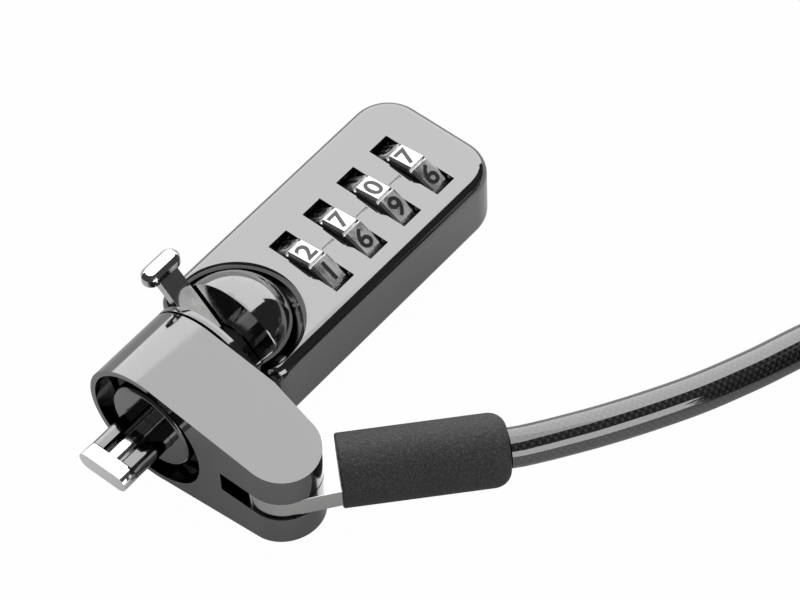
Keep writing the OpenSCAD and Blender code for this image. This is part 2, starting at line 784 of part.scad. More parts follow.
// Moulded black sleeve over the crimp, rounded where the cable comes out
module cable_sleeve() {
    r = sleeve_d / 2;
    end = sleeve_end;
    color(black) along_lug() difference() {
        union() {
            x_rod(r, sleeve_start, end - sleeve_end_r);
            x_rod(r - sleeve_end_r, sleeve_start, end);
            translate([end - sleeve_end_r, 0, 0]) rotate([0, 90, 0])
                rotate_extrude() translate([r - sleeve_end_r, 0]) circle(r = sleeve_end_r);
        }
        x_rod(crimp_r + seated, crimp_start - seated, crimp_start + crimp_l + play);
        block([sleeve_start - margin, -lug_w / 2 - seated, -lug_t / 2 - seated],
              [crimp_start + overlap + seated, lug_w / 2 + seated, lug_t / 2 + seated]);
    }
}

// ---- Cable ----

module cable() {
    color(smoke) tube(cable_route, cable_r, cable_sides);
}

// Outer form of the wound cable: turns side by side and on top of each other
module cable_coil() {
    w = (coil_columns - 1) * turn_pitch + cable_d;
    h = (coil_layers - 1) * turn_pitch + cable_d;
    color(smoke) translate([coil_x, coil_y, rest_z + h / 2]) rotate_extrude()
        translate([coil_r, 0]) rounded(w, h, cable_r);
}

module cable_tail() {
    color(smoke) tube(tail_route, cable_r, cable_sides);
}

// Pressed oval sleeve that holds the cable's end beside the cable
module loop_ferrule() {
    color(steel) translate([0, tail_end[1] + leg_gap / 2, tail_end[2]])
        x_prism(tail_end[0] - ferrule_l, tail_end[0]) stadium(ferrule_w, ferrule_h);
}

// Eye in the end of the cable
module anchor_loop() {
    color(smoke) translate([eye_x, tail_end[1] + leg_gap / 2, tail_end[2]])
        rotate_extrude() translate([eye_r, 0]) circle(r = cable_r);
}

housing();
base_cover();
cover_pins();
detent_spring();
shaft_spring();
left_pivot_pin();
right_pivot_pin();
dial_1();
dial_2();
dial_3();
dial_4();
code_sleeve_1();
code_sleeve_2();
code_sleeve_3();
code_sleeve_4();
code_shaft();
reset_screw();
swivel_ball();
head_barrel();
head_dowels();
prong_insert();
spindle_bush();
retaining_ring();
blocking_rod();
lever();
t_bar();
collar();
cable_pin();
cable_lug();
cable_sleeve();
cable();
cable_coil();
cable_tail();
loop_ferrule();
anchor_loop();
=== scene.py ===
import math

import bmesh
import bpy
from mathutils import Matrix, Vector


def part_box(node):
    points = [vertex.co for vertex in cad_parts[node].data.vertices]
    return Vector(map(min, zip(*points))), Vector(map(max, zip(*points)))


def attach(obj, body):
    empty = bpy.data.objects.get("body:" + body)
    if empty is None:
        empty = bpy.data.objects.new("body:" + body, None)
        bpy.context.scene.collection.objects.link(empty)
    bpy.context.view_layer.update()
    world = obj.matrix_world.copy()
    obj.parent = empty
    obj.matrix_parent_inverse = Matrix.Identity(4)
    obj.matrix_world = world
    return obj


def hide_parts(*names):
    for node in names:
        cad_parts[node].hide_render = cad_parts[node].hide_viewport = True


bl_info = {
    "name": "Laptop cable lock",
    "version": (1, 0, 0),
    "blender": (4, 5, 0),
    "location": "View3D > Sidebar > Cable lock",
    "description": "Dresses the CAD model of a laptop cable lock and lights it",
    "category": "Object",
}

MM = 0.001

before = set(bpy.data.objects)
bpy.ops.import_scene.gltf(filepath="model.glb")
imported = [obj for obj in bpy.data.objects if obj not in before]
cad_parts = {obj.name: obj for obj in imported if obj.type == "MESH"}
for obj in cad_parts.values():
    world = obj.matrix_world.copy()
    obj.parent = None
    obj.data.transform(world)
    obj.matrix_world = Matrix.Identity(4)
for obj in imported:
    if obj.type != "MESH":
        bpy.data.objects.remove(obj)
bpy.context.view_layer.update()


def corners(node):
    """Lowest and highest corner of a CAD node, as vectors in metres."""
    low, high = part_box(node)
    return Vector(low), Vector(high)


# ---- Places that the CAD model gives ----

DIAL_RADIUS = 5.9 * MM
DIAL_AXIS_Y = 1.33 * MM
DIAL_COUNT = 4
PAD_COUNT = 10
PAD_TURN = math.radians(7.5)
PAD_STEP = 2 * math.pi / PAD_COUNT
FLOOR_Z = corners("collar")[0].z

LUG_ANGLE = math.radians(90 + 47.8)
CABLE_PIN = Vector((-4.1, 15.7, 0.0)) * MM
LUG_EYE_RADIUS = 3.5 * MM
SLEEVE_START = 6.0 * MM
SLEEVE_RADIUS = 4.1 * MM
CABLE_RADIUS = 2.25 * MM

# ---- Sizes of the dressed pieces ----

# Height of a pad's flat face from the dial's axis, and where its sides end in the grooves
PAD_FACE = DIAL_RADIUS - 0.25 * MM
PAD_FOOT = DIAL_RADIUS - 0.3 * MM
# How much wider the dials and how much longer their pads look than the CAD model's
DIAL_STRETCH = 1.06
PAD_STRETCH = 1.02
# Letter size of the numbers, and as shares of it how much bolder and how thick they are made
NUMBER_SIZE = 3.4 * MM
NUMBER_BOLDER = 0.02
NUMBER_THICKNESS = 0.011
# Number on the upper pad of each dial; they rise by one towards -Y
TOP_NUMBERS = (2, 7, 0, 7)

VISIBLE_EYE_RADIUS = 4.2 * MM
# Moulded sleeve: depth of its front rim, and how far the front and rear edges are rounded
SLEEVE_RIM = 1.2 * MM
SLEEVE_FRONT_ROUND = 0.25 * MM
SLEEVE_REAR_ROUND = 2.0 * MM
SLEEVE_STEPS = 72

# Thumb piece of the lever: which way it points, how far out it is, and its length, width and height
LEVER_OUT = Vector((0, -math.sqrt(0.5), math.sqrt(0.5)))
CAP_REACH = 12.25 * MM
CAP_SIZE = Vector((5.3, 2.3, 2.0)) * MM
# How far below its centre the lever's own bar is cut off, and width of its broken rims
CAP_FOOT = 0.6 * MM
CAP_RIM = 0.5 * MM
# Outer corner of the guide prongs' ends, half of the gap between them, and how round their backs are
PRONG_END = Vector((5.65, 3.3, 1.2)) * MM
PRONG_GAP = 1.45 * MM
PRONG_ROUND = 0.98 * PRONG_END.z
# How far out of the head's face the CAD model's prongs are cut off, to make room for the new ones
PRONG_ROOT = 0.02 * MM

# Closer than this, loose triangles' corners are one point, and two points of a block count as level
MERGE = 0.002 * MM
LEVEL = 0.01 * MM
# Edges sharper than SHARP_EDGE are broken, and those sharper than CRISP_EDGE show as a line.
# Faces that meet flatter than FLAT_EDGE are joined up.
SHARP_EDGE = math.radians(35)
CRISP_EDGE = math.radians(30)
FLAT_EDGE = math.radians(0.5)

# Route of the cable before the coil and after it, in millimetres
LEAD_ROUTE = [
    (-22.25, 32.15, 0), (-23.3, 33, -0.05), (-25.2, 34.25, -0.2), (-27.1, 35.4, -0.4),
    (-31.2, 37.7, -0.9), (-36.6, 40.3, -1.7), (-42.5, 42.8, -2.6), (-48.9, 44.95, -3.6),
    (-52.2, 45.9, -4.1), (-55.5, 46.8, -4.6), (-58.5, 47.65, -5.1), (-61.5, 48.5, -5.5),
    (-64.5, 49.4, -5.8), (-67.5, 50.3, -6), (-73.5, 52.2, -6.05), (-79, 54, -6.05),
]
LEAD_START = Vector(LEAD_ROUTE[0]) * MM
TAIL_ROUTE = [
    (-57.3, 108.7, 11.4), (-52.2, 104.3, 12.4), (-48.2, 98.9, 12.85),
    (-46.1, 93, 12.85), (-46.1, 86.8, 12.85), (-48.2, 80.9, 12.85), (-52.2, 76.1, 12.85),
    (-57.6, 73, 12.85), (-63.8, 71.9, 12.85), (-67.2, 71.9, 12.85),
]
COIL_CENTRE = (-74.0, 84.0)
COIL_RADIUS = 25.2
COIL_LOW_Z = -6.05
TURN_PITCH = 4.6
COIL_START = math.radians(-110)
COIL_TURNS = 10.5
# Where the cable changes its row: first and last turn, "r" outwards or "z" upwards, and which way
COIL_STEPS = [
    (0.8, 1.0, "r", -1), (1.8, 2.0, "r", -1), (2.6, 2.8, "z", 1), (3.4, 3.6, "r", 1),
    (4.4, 4.6, "r", 1), (5.2, 5.4, "z", 1), (6.0, 6.2, "r", -1), (7.0, 7.2, "r", -1),
    (7.8, 8.0, "z", 1), (8.6, 8.8, "r", 1), (9.6, 9.8, "r", 1), (10.4, 10.611, "z", 1.109),
]
POINTS_PER_TURN = 40
CABLE_SIDES = 24
# Distance between the centreline's points before the coil and after it, in millimetres
LEAD_SPACING = 1.2
TAIL_SPACING = 1.6
# The eye's ring starts and ends inside the ferrule
EYE_START = math.radians(8)
EYE_SPAN = math.radians(344)
EYE_STEPS = 96

# Camera: where it stands in metres, and its right, down and forward directions
CAMERA_PLACE = Vector((0.149389, 0.172550, 0.321806))
CAMERA_RIGHT = Vector((-0.63996041, 0.76782121, -0.0300209))
CAMERA_DOWN = Vector((0.62562907, 0.49796732, -0.60051379))
CAMERA_FORWARD = Vector((-0.4461378, -0.403087, -0.79905064))
CAMERA_LENS = 163.0
CAMERA_SENSOR = 36.0

# White paper: radius in metres, and its own glow as the camera sees it and as the metal reflects it
FLOOR_RADIUS = 4.0
GLOW_TO_CAMERA = 0.985
GLOW_TO_METAL = 0.16


def linear(code):
    """An sRGB hex colour as linear red, green, blue and alpha."""
    parts = [int(code[i:i + 2], 16) / 255 for i in (1, 3, 5)]
    return tuple(c / 12.92 if c <= 0.04045 else ((c + 0.055) / 1.055) ** 2.4 for c in parts) + (1.0,)


# ---- Settings that a user would change ----


class LockFinish(bpy.types.PropertyGroup):
    """Colours and roughness of the lock's finishes."""

    dark_plate: bpy.props.FloatVectorProperty(
        name="Dark plate", description="Colour of the dark nickel on the castings",
        subtype="COLOR", default=linear("#828282")[:3], min=0, max=1)
    bright_plate: bpy.props.FloatVectorProperty(
        name="Bright plate", description="Colour of the bright nickel on dials, lever and T-bar",
        subtype="COLOR", default=linear("#D1D1D0")[:3], min=0, max=1)
    plate_roughness: bpy.props.FloatProperty(
        name="Plate roughness", description="Roughness of the polished plating",
        subtype="FACTOR", default=0.07, min=0.0, max=1.0)
    edge_width: bpy.props.FloatProperty(
        name="Edge width", description="Width of the broken edges on the castings",
        unit="LENGTH", default=0.12 * MM, min=0.01 * MM, max=0.5 * MM)


class LockCable(bpy.types.PropertyGroup):
    """Sizes of the cable and its sleeve."""

    cable_radius: bpy.props.FloatProperty(
        name="Cable radius", description="Radius of the cable over its jacket",
        unit="LENGTH", default=CABLE_RADIUS, min=1 * MM, max=5 * MM)
    grain_size: bpy.props.FloatProperty(
        name="Grain size", description="Width of one grain on the moulded sleeve",
        unit="LENGTH", default=0.22 * MM, min=0.05 * MM, max=1 * MM)


class LockStage(bpy.types.PropertyGroup):
    """Strength of the studio's lamps."""

    panels: bpy.props.FloatProperty(
        name="Panels", description="Brightness of the soft panels round the lock",
        default=2.4, min=0.0, max=50.0)
    surround: bpy.props.FloatProperty(
        name="Surround", description="Brightness of the room round the lock",
        default=0.064, min=0.0, max=5.0)


# ---- Materials ----


def add(tree, kind, inputs=None, **settings):
    """Adds a shader node, sets it up, and fills its inputs with values or with other nodes' outputs."""
    made = tree.nodes.new("ShaderNode" + kind)
    for name, value in settings.items():
        setattr(made, name, value)
    for socket, value in (inputs or {}).items():
        if isinstance(value, bpy.types.NodeSocket):
            tree.links.new(value, made.inputs[socket])
        else:
            made.inputs[socket].default_value = value
    return made


def new_material(name, **surface):
    """A material with one Principled shader, and that shader."""
    material = bpy.data.materials.new(name)
    material.use_nodes = True
    tree = material.node_tree
    shader = tree.nodes["Principled BSDF"]
    for socket, value in surface.items():
        shader.inputs[socket.replace("_", " ")].default_value = value
    return material, tree, shader


def object_place(tree, scale=(1, 1, 1), turn=(0, 0, 0)):
    """Object coordinates, scaled and turned."""
    place = add(tree, "TexCoord").outputs["Object"]
    return add(tree, "Mapping", {"Vector": place, "Scale": scale, "Rotation": turn}).outputs[0]


def polished_plate(name, colour, roughness):
    """Polished plating: mirror-like, with a faint orange-peel swell and wipe marks that dull it a little."""
    material, tree, shader = new_material(name, Metallic=1.0, Base_Color=colour)
    swell = add(tree, "TexNoise", {"Vector": object_place(tree), "Scale": 1 / (2.4 * MM), "Detail": 1.0})
    wipe = add(tree, "TexNoise", {"Vector": object_place(tree, (1, 0.25, 1), (0, 0, 0.6)),
                                  "Scale": 1 / (1.6 * MM), "Detail": 5.0, "Roughness": 0.6})
    rough = add(tree, "MapRange", {"Value": wipe.outputs["Fac"], "From Min": 0.35, "From Max": 0.75,
                                   "To Min": roughness * 0.7, "To Max": roughness * 1.8})
    bump = add(tree, "Bump", {"Height": swell.outputs["Fac"], "Strength": 0.05, "Distance": 0.02 * MM})
    tree.links.new(rough.outputs["Result"], shader.inputs["Roughness"])
    tree.links.new(bump.outputs["Normal"], shader.inputs["Normal"])
    return material


def ground_steel(name, colour):
    """Steel ground along its length: fine parallel scratches that stretch the highlights."""
    material, tree, shader = new_material(name, Metallic=1.0, Base_Color=colour)
    lines = add(tree, "TexNoise", {"Vector": object_place(tree, (0.04, 1, 1)),
                                   "Scale": 1 / (0.12 * MM), "Detail": 3.0})
    rough = add(tree, "MapRange", {"Value": lines.outputs["Fac"], "To Min": 0.2, "To Max": 0.42})
    bump = add(tree, "Bump", {"Height": lines.outputs["Fac"], "Strength": 0.15, "Distance": 0.01 * MM})
    tree.links.new(rough.outputs["Result"], shader.inputs["Roughness"])
    tree.links.new(bump.outputs["Normal"], shader.inputs["Normal"])
    return material


def turned_brass(name):
    """Oiled brass turned on a lathe: dull and warm, with fine rings left by the tool."""
    material, tree, shader = new_material(name, Metallic=1.0, Roughness=0.24, Base_Color=linear("#877655"))
    rings = add(tree, "TexWave", {"Vector": object_place(tree), "Scale": 1 / (3 * MM), "Distortion": 0.4},
                bands_direction="X")
    bump = add(tree, "Bump", {"Height": rings.outputs["Fac"], "Strength": 0.2, "Distance": 0.01 * MM})
    tree.links.new(bump.outputs["Normal"], shader.inputs["Normal"])
    return material


def grained_vinyl(name, grain):
    """Soft PVC moulded in a leather-grained tool: matte black, with rounded pebbles and paler worn tops."""
    material, tree, shader = new_material(name, Specular_IOR_Level=0.5)
    place = object_place(tree)
    pebbles = add(tree, "TexVoronoi", {"Vector": place, "Scale": 1 / (2 * grain), "Randomness": 1.0},
                  feature="SMOOTH_F1")
    fine = add(tree, "TexNoise", {"Vector": place, "Scale": 1 / grain, "Detail": 4.0, "Roughness": 0.7})
    broad = add(tree, "TexNoise", {"Vector": place, "Scale": 1 / (6 * MM), "Detail": 2.0})
    height = add(tree, "Math", {0: pebbles.outputs["Distance"], 1: fine.outputs["Fac"]},
                 operation="SUBTRACT")
    tone = add(tree, "MixRGB", {"Fac": broad.outputs["Fac"], "Color1": linear("#1E1E1F"),
                                "Color2": linear("#303031")})
    tops = add(tree, "MapRange", {"Value": fine.outputs["Fac"], "From Min": 0.48, "From Max": 0.72})
    worn = add(tree, "MixRGB", {"Fac": tops.outputs["Result"], "Color1": tone.outputs["Color"],
                                "Color2": linear("#585859")})
    rough = add(tree, "MapRange", {"Value": fine.outputs["Fac"], "To Min": 0.5, "To Max": 0.78})
    bump = add(tree, "Bump", {"Height": height.outputs[0], "Strength": 0.8, "Distance": 0.1 * MM})
    tree.links.new(worn.outputs["Color"], shader.inputs["Base Color"])
    tree.links.new(rough.outputs["Result"], shader.inputs["Roughness"])
    tree.links.new(bump.outputs["Normal"], shader.inputs["Normal"])
    return material


def braided_cable(name):
    """Black steel braid under a clear vinyl jacket: dim beads of wire under a wet-looking smooth coat, with
    painted shade that darkens the valleys between the strands.

    The UV map runs once round the cable and counts millimetres along it. Each strand goes once round
    in the lay's length.
    """
    strands = 15.0
    lay = 12.8
    material, tree, shader = new_material(name, Roughness=0.6, Specular_IOR_Level=0.12, Coat_Weight=1.0,
                                          Coat_Roughness=0.03, Coat_IOR=2.2)
    uv = add(tree, "UVMap", uv_map="along")
    split = add(tree, "SeparateXYZ", {0: uv.outputs["UV"]})
    around = add(tree, "Math", {0: split.outputs["X"], 1: strands}, operation="MULTIPLY")
    along = add(tree, "Math", {0: split.outputs["Y"], 1: strands / lay}, operation="MULTIPLY")
    helices = []
    for operation in ("ADD", "SUBTRACT"):
        phase = add(tree, "Math", {0: around.outputs[0], 1: along.outputs[0]}, operation=operation)
        turn = add(tree, "Math", {0: phase.outputs[0], 1: 2 * math.pi}, operation="MULTIPLY")
        helices.append(add(tree, "Math", {0: turn.outputs[0]}, operation="COSINE"))
    bead = add(tree, "Math", {0: helices[0].outputs[0], 1: helices[1].outputs[0]}, operation="ADD")
    height = add(tree, "MapRange", {"Value": bead.outputs[0], "From Min": -1.0, "From Max": 2.0})
    # Painted shade: the colour follows the weave's height, near black in the valleys between the strands and
    # dark grey on the crowns of the wires.
    tone = add(tree, "MapRange", {"Value": bead.outputs[0], "From Min": -0.4, "From Max": 2.0})
    colour = add(tree, "MixRGB", {"Fac": tone.outputs["Result"], "Color1": linear("#050505"),
                                  "Color2": linear("#404041")})
    bump = add(tree, "Bump", {"Height": height.outputs["Result"], "Strength": 0.8, "Distance": 0.2 * MM})
    tree.links.new(colour.outputs["Color"], shader.inputs["Base Color"])
    tree.links.new(bump.outputs["Normal"], shader.inputs["Normal"])
    return material


def blackened_etching(name):
    """Etched numbers, blackened chemically: dark metal that still answers the lamps, a little uneven."""
    material, tree, shader = new_material(name, Metallic=1.0, Roughness=0.3)
    mottle = add(tree, "TexNoise", {"Vector": object_place(tree), "Scale": 1 / (0.3 * MM), "Detail": 3.0})
    colour = add(tree, "MixRGB", {"Fac": mottle.outputs["Fac"], "Color1": linear("#414142"),
                                  "Color2": linear("#555556")})
    tree.links.new(colour.outputs["Color"], shader.inputs["Base Color"])
    return material


def make_finishes():
    """One material for each finish, by name."""
    plating = bpy.context.scene.lock_finish
    dark = tuple(plating.dark_plate) + (1.0,)
    bright = tuple(plating.bright_plate) + (1.0,)
    polish = plating.plate_roughness
    grain = bpy.context.scene.lock_cable.grain_size
    return {
        "dark": polished_plate("black_nickel_on_polished_zinc", dark, polish),
        "bright": polished_plate("bright_nickel_plate", bright, polish * 1.4),
        "satin": polished_plate("satin_nickel_on_dials", bright, polish * 4),
        "steel": ground_steel("ground_steel", linear("#AAAAAD")),
        "brass": turned_brass("turned_brass"),
        "vinyl": grained_vinyl("grained_moulded_pvc", grain),
        "braid": braided_cable("clear_jacket_over_black_braid"),
        "etched": blackened_etching("blackened_etching_on_nickel"),
        "chrome": polished_plate("bright_chrome_on_steel", linear("#F4F4F3"), polish * 1.4),
    }


FINISHES = {}


def finish(name):
    """A finish's material; all are made at the first call."""
    if not FINISHES:
        FINISHES.update(make_finishes())
    return FINISHES[name]


# ---- Making pieces ----


def join(mesh, part):
    """Moves the geometry of one bmesh into another."""
    data = bpy.data.meshes.new("part")
    part.to_mesh(data)
    part.free()
    mesh.from_mesh(data)
    bpy.data.meshes.remove(data)


def block(low, high):
    """A bmesh of a plain block between two corners, to be cut and rounded."""
    mesh = bmesh.new()
    size = high - low
    place = Matrix.Translation((low + high) / 2) @ Matrix.Diagonal((*size, 1))
    bmesh.ops.create_cube(mesh, size=1.0, matrix=place)
    return mesh


def merged(node):
    """A bmesh of a CAD node with its loose triangles joined up."""
    mesh = bmesh.new()
    mesh.from_mesh(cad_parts[node].data)
    bmesh.ops.remove_doubles(mesh, verts=mesh.verts, dist=MERGE)
    return mesh


def open_rims(mesh):
    """The edges that have a face on one side only."""
    return [e for e in mesh.edges if e.is_boundary]


def cut_off(mesh, place, way):
    """Takes off what lies beyond a plane, on the side that the plane faces."""
    bmesh.ops.bisect_plane(mesh, geom=mesh.verts[:] + mesh.edges[:] + mesh.faces[:], plane_co=place,
                           plane_no=way, clear_outer=True)


def round_off(mesh, edges, width, segments):
    """Rounds edges of a bmesh to a width, or breaks them where there is one segment."""
    bmesh.ops.bevel(mesh, geom=edges, offset=width, affect="EDGES", segments=segments, profile=0.5,
                    material=-1)


def break_edges(mesh, width):
    """Joins up flat faces and breaks the sharp edges."""
    bmesh.ops.dissolve_limit(mesh, angle_limit=FLAT_EDGE, verts=mesh.verts, edges=mesh.edges)
    mesh.normal_update()
    rims = [e for e in mesh.edges if e.is_manifold and e.calc_face_angle() > SHARP_EDGE]
    bmesh.ops.bevel(mesh, geom=rims, offset=width, offset_type="OFFSET", affect="EDGES", segments=2,
                    profile=0.5, material=-1, clamp_overlap=True)


def place_piece(mesh, name, body, material, nodes=()):
    """Turns a bmesh into a named piece that rides on a body and stands for CAD nodes."""
    data = bpy.data.meshes.new(name)
    mesh.to_mesh(data)
    mesh.free()
    piece = bpy.data.objects.new(name, data)
    bpy.context.scene.collection.objects.link(piece)
    data.materials.append(material)
    data.shade_smooth()
    data.set_sharp_from_angle(angle=CRISP_EDGE)
    flats = piece.modifiers.new("flat faces stay flat", "WEIGHTED_NORMAL")
    flats.keep_sharp = True
    flats.weight = 100
    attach(piece, body)
    if nodes:
        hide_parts(*nodes)
    return piece


def dress_node(node, material):
    """A CAD node that stays gets a better material."""
    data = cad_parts[node].data
    data.materials.clear()
    data.materials.append(material)


def casting(node, name, body, material, edge, reshape=None):
    """A copy of a CAD node, reshaped if a function is given, with its sharp edges broken."""
    mesh = merged(node)
    if reshape:
        reshape(mesh)
    break_edges(mesh, edge)
    return place_piece(mesh, name, body, material, (node,))


def between(points, step):
    """A smooth curve through points, sampled about every step."""
    path = []
    ends = [points[0] * 2 - points[1]] + list(points) + [points[-1] * 2 - points[-2]]
    for a, b, c, d in zip(ends, ends[1:], ends[2:], ends[3:]):
        count = max(1, round((c - b).length / step))
        for k in range(count):
            t = k / count
            path.append(0.5 * (2 * b + (c - a) * t + (2 * a - 5 * b + 4 * c - d) * t ** 2
                               + (3 * b - a - 3 * c + d) * t ** 3))
    path.append(points[-1])
    return path


def sweep(path, radius, sides):
    """A closed tube along a path, with a UV map that runs once round and counts millimetres along."""
    mesh = bmesh.new()
    side = mesh.verts.layers.int.new("side")
    row = mesh.verts.layers.int.new("row")
    spots, lengths = [], [0.0]
    for k, point in enumerate(path):
        ahead = (path[min(k + 1, len(path) - 1)] - path[max(k - 1, 0)]).normalized()
        across = Vector((0, 0, 1)).cross(ahead).normalized()
        spots.append(Matrix((across, ahead.cross(across), ahead)).transposed().to_4x4())
        spots[-1].translation = point
        if k:
            lengths.append(lengths[-1] + (point - path[k - 1]).length)
    first = bmesh.ops.create_circle(mesh, segments=sides, radius=radius, matrix=spots[0],
                                    cap_ends=True)["verts"]
    for k, vert in enumerate(first):
        vert[side] = k
    rim = [e for e in mesh.edges if all(v in first for v in e.verts)]
    for k in range(1, len(path)):
        made = bmesh.ops.extrude_edge_only(mesh, edges=rim)["geom"]
        verts = [v for v in made if isinstance(v, bmesh.types.BMVert)]
        rim = [e for e in made if isinstance(e, bmesh.types.BMEdge)]
        bmesh.ops.transform(mesh, matrix=spots[k] @ spots[k - 1].inverted(), verts=verts)
        for vert in verts:
            vert[row] = k
    bmesh.ops.contextual_create(mesh, geom=rim)
    bmesh.ops.recalc_face_normals(mesh, faces=mesh.faces)
    along = mesh.loops.layers.uv.new("along")
    for face in mesh.faces:
        wraps = {0, sides - 1} <= {v[side] for v in face.verts} and len(face.verts) == 4
        for loop in face.loops:
            turn = sides if wraps and loop.vert[side] == 0 else loop.vert[side]
            loop[along].uv = (turn / sides, lengths[loop.vert[row]] / MM)
    return mesh


# ---- Operators ----


class LOCK_OT_cable(bpy.types.Operator):
    """Makes the cable from the sleeve through the coil to its eye"""

    bl_idname = "lock.cable"
    bl_label = "Cable"

    def coil(self):
        """Centreline of the wound part: each turn steps sideways or upwards where the last row is full."""
        points = []
        for k in range(round(COIL_TURNS * POINTS_PER_TURN) + 1):
            turn = k / POINTS_PER_TURN
            reach, height = COIL_RADIUS + TURN_PITCH, COIL_LOW_Z
            for start, end, way, sign in COIL_STEPS:
                t = min(max((turn - start) / (end - start), 0), 1)
                step = sign * TURN_PITCH * t * t * (3 - 2 * t)
                if way == "r":
                    reach += step
                else:
                    height += step
            angle = COIL_START - 2 * math.pi * turn
            points.append(Vector((COIL_CENTRE[0] + reach * math.cos(angle),
                                  COIL_CENTRE[1] + reach * math.sin(angle), height)))
        return points

    def execute(self, context):
        radius = context.scene.lock_cable.cable_radius
        coil = self.coil()
        lead = between([Vector(p) for p in LEAD_ROUTE] + coil[:1], LEAD_SPACING)[:-1]
        tail = between(coil[-1:] + [Vector(p) for p in TAIL_ROUTE], TAIL_SPACING)[1:]
        path = [p * MM for p in lead + coil + tail]
        jacket = place_piece(sweep(path, radius, CABLE_SIDES), "cable_jacket", "cable", finish("braid"),
                             ("cable", "cable_coil", "cable_tail"))
        eye_low, eye_high = corners("anchor_loop")
        centre = (eye_low + eye_high) / 2
        ring = (eye_high.x - eye_low.x) / 2 - radius
        angles = [EYE_START + EYE_SPAN * k / EYE_STEPS for k in range(EYE_STEPS + 1)]
        loop = [centre + ring * Vector((math.cos(a), math.sin(a), 0)) for a in angles]
        eye = place_piece(sweep(loop, radius, CABLE_SIDES), "eye_of_cable", "cable", finish("braid"),
                          ("anchor_loop",))
        return {"FINISHED"}


class LOCK_OT_stage(bpy.types.Operator):
    """Sets up the camera, the floor, the lamps and the room"""

    bl_idname = "lock.stage"
    bl_label = "Camera, floor and lamps"

    def execute(self, context):
        self.camera(context)
        self.floor()
        self.lamps(context)
        self.room(context)
        return {"FINISHED"}

    def camera(self, context):
        data = bpy.data.cameras.new("camera")
        data.lens = CAMERA_LENS
        data.sensor_width = CAMERA_SENSOR
        data.clip_start = 0.01
        data.clip_end = 50
        camera = bpy.data.objects.new("camera", data)
        turn = Matrix((CAMERA_RIGHT, -CAMERA_DOWN, -CAMERA_FORWARD)).transposed()
        camera.matrix_world = Matrix.Translation(CAMERA_PLACE) @ turn.to_4x4()
        context.scene.collection.objects.link(camera)
        context.scene.camera = camera
        context.scene.view_settings.view_transform = "Standard"

    def floor(self):
        """White paper floor: its glow hides nearly all shadow from the camera, and metal sees it darker."""
        mesh = bmesh.new()
        bmesh.ops.create_circle(mesh, segments=96, radius=FLOOR_RADIUS, cap_ends=True,
                                matrix=Matrix.Translation((0, 0, FLOOR_Z)))
        data = bpy.data.meshes.new("floor")
        mesh.to_mesh(data)
        mesh.free()
        floor = bpy.data.objects.new("floor", data)
        bpy.context.scene.collection.objects.link(floor)
        material, tree, shader = new_material("white_paper", Base_Color=linear("#B4B4B4"), Roughness=0.9)
        glow = add(tree, "Emission", {"Color": linear("#FFFFFF"), "Strength": 1.0})
        path = add(tree, "LightPath")
        seen = add(tree, "Math", {0: path.outputs["Is Camera Ray"], 1: GLOW_TO_CAMERA},
                   operation="MULTIPLY")
        reflected = add(tree, "Math", {0: path.outputs["Is Glossy Ray"], 1: GLOW_TO_METAL},
                        operation="MULTIPLY")
        share = add(tree, "Math", {0: seen.outputs[0], 1: reflected.outputs[0]}, operation="MAXIMUM")
        mix = add(tree, "MixShader", {0: share.outputs[0], 1: shader.outputs[0], 2: glow.outputs[0]})
        tree.links.new(mix.outputs[0], tree.nodes["Material Output"].inputs["Surface"])
        data.materials.append(material)

    def panel(self, context, name, place, facing, size, share=1.0):
        """A soft rectangular lamp at place that faces one way; size is its width and its height."""
        data = bpy.data.lights.new(name, "AREA")
        data.shape = "RECTANGLE"
        data.size, data.size_y = size
        data.energy = context.scene.lock_stage.panels * share * math.pi * size[0] * size[1]
        lamp = bpy.data.objects.new(name, data)
        turn = Vector(facing).normalized().to_track_quat("-Z", "Y").to_matrix().to_4x4()
        lamp.matrix_world = Matrix.Translation(place) @ turn
        context.scene.collection.objects.link(lamp)

    def lamps(self, context):
        """Ceiling panels, dimmer over the head, that meet walls at -Y and -X, and a low panel at +Y."""
        self.panel(context, "ceiling_panel", (-0.757, -0.43, 0.6), (0, 0, -1), (0.885, 1.3))
        self.panel(context, "front_ceiling_panel", (-0.097, -0.43, 0.6), (0, 0, -1), (0.435, 1.3), 0.78)
        self.panel(context, "wall_panel", (-0.5, -1.08, 0.3), (0, 1, 0), (1.4, 0.6))
        self.panel(context, "far_panel", (-1.2, -0.48, 0.3), (1, 0, 0), (1.19, 0.6))
        self.panel(context, "low_panel", (0.12, 0.7, 0.19), (-0.17, -0.98, -0.1), (0.62, 0.4))

    def room(self, context):
        world = bpy.data.worlds.new("room")
        world.use_nodes = True
        background = world.node_tree.nodes["Background"]
        grey = context.scene.lock_stage.surround
        background.inputs["Color"].default_value = (grey, grey, grey, 1)
        context.scene.world = world


class LOCK_OT_body(bpy.types.Operator):
    """Dresses the body, its cover and the pieces pressed into them"""

    bl_idname = "lock.body"
    bl_label = "Body"

    def execute(self, context):
        edge = context.scene.lock_finish.edge_width
        dark = finish("dark")
        casting("housing", "body_shell", "body", dark, edge)
        casting("base_cover", "bottom_cover", "body", dark, edge)
        casting("reset_screw", "code_setting_screw", "reset_screw", finish("bright"),
                edge / 2)
        for node in ("cover_pins", "detent_spring", "shaft_spring", "left_pivot_pin", "right_pivot_pin"):
            dress_node(node, finish("steel"))
        return {"FINISHED"}


